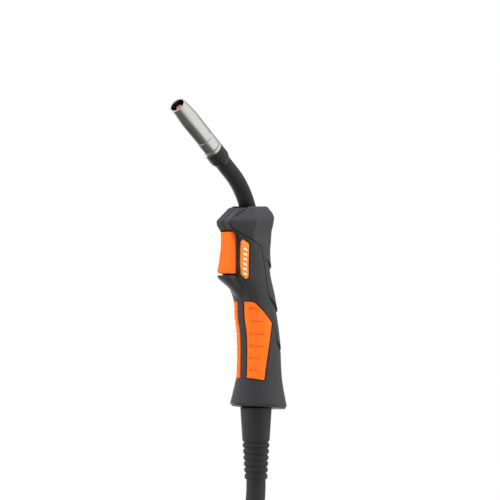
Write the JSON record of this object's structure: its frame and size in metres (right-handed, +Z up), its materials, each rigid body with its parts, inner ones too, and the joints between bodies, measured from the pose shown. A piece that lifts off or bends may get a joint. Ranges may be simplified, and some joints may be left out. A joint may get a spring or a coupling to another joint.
{
  "type": "mig welding torch",
  "caption": "Gas-cooled MIG welding gun with a trigger grip, bent swan neck, slip-on gas nozzle, ball-jointed cable support, coiled cable and machine connector.",
  "frame": {"origin": "middle of the grip, on the axis of the cable where it runs up into the handle", "axes": "+Z up the handle towards the neck, -X towards the trigger and the nozzle, Y = 0 is the torch's plane of symmetry"},
  "size_m": [0.2316, 0.2476, 0.4594],
  "materials": {
    "handle_plastic": "fine-grained dark grey moulded nylon",
    "orange_rubber": "smooth orange soft grip",
    "orange_plastic": "satin orange moulded plastic",
    "neck_coating": "satin black insulating coat on a metal tube",
    "nozzle_steel": "turned and polished plating",
    "copper": "bright turned copper alloy",
    "brass": "bright turned brass",
    "steel": "bright zinc-plated steel",
    "black_plastic": "satin black moulded plastic",
    "cable_rubber": "matt black cable rubber",
    "wire_insulation": "red wire insulation"
  },
  "bodies": {
    "handle": {"handle_shell_left": "handle_plastic", "handle_shell_right": "handle_plastic", "back_cover": "handle_plastic", "grip_insert_left": "orange_rubber", "grip_insert_right": "orange_rubber", "label_plate_left": "orange_plastic", "label_plate_right": "orange_plastic", "neck_tube": "neck_coating", "contact_tip": "copper", "cable_ferrule": "copper", "tip_holder": "brass", "neck_core": "brass", "neck_block": "brass", "cable_nut": "brass", "switch_terminal_1": "brass", "switch_terminal_2": "brass", "connector_core": "brass", "gas_pin": "brass", "shell_screw_1": "steel", "shell_screw_2": "steel", "shell_screw_3": "steel", "shell_screw_4": "steel", "trigger_pin": "steel", "trigger_spring": "steel", "nozzle_spring": "steel", "wire_liner": "steel", "neck_ferrule": "steel", "switch_body": "black_plastic", "neck_insulator": "black_plastic", "connector_housing": "black_plastic", "connector_relief": "cable_rubber", "cable": "cable_rubber", "cable_coil": "cable_rubber", "cable_tail": "cable_rubber", "cable_in_grip": "cable_rubber", "gas_pin_seal": "cable_rubber", "switch_wire_1": "wire_insulation", "switch_wire_2": "wire_insulation"},
    "trigger": {"trigger": "orange_plastic"},
    "switch_plunger": {"switch_plunger": "black_plastic"},
    "nozzle": {"gas_nozzle": "nozzle_steel", "nozzle_collar": "nozzle_steel", "nozzle_end_ring": "nozzle_steel"},
    "cable_support": {"support_ball": "black_plastic", "strain_relief": "cable_rubber", "cable_in_support": "cable_rubber"},
    "connector_nut": {"connector_nut": "black_plastic"},
    "control_pin_1": {"control_pin_1": "brass"},
    "control_pin_2": {"control_pin_2": "brass"}
  },
  "joints": [
    {"name": "trigger_hinge", "type": "hinge", "parent": "handle", "child": "trigger", "pos_m": [-0.0295, 0, 0.089], "axis": [0, -1, 0], "range_deg": [0, 5], "stiffness_Nm_per_rad": 0.6, "deforming": ["trigger_spring"]},
    {"name": "switch_plunger_slide", "type": "slide", "parent": "handle", "child": "switch_plunger", "axis": [1, 0, 0], "range_m": [0, 0.0022]},
    {"name": "nozzle_pull", "type": "slide", "parent": "handle", "child": "nozzle", "axis": [-0.766, 0, 0.6428], "range_m": [0, 0.016]},
    {"name": "cable_support_tilt", "type": "hinge", "parent": "handle", "child": "cable_support", "pos_m": [0, 0, -0.048], "axis": [0, 1, 0], "range_deg": [-8, 8], "deforming": ["cable"]},
    {"name": "connector_nut_spin", "type": "hinge", "parent": "handle", "child": "connector_nut", "pos_m": [0.004, 0.1778, -0.1922], "axis": [1, 0, 0], "continuous": true},
    {"name": "control_pin_1_slide", "type": "slide", "parent": "handle", "child": "control_pin_1", "axis": [-1, 0, 0], "range_m": [0, 0.003], "stiffness_N_per_m": 300},
    {"name": "control_pin_2_slide", "type": "slide", "parent": "handle", "child": "control_pin_2", "axis": [-1, 0, 0], "range_m": [0, 0.003], "stiffness_N_per_m": 300}
  ],
  "couplings": [
    {"joint": "switch_plunger_slide", "follows": "trigger_hinge", "m_per_rad": 0.024}
  ]
}
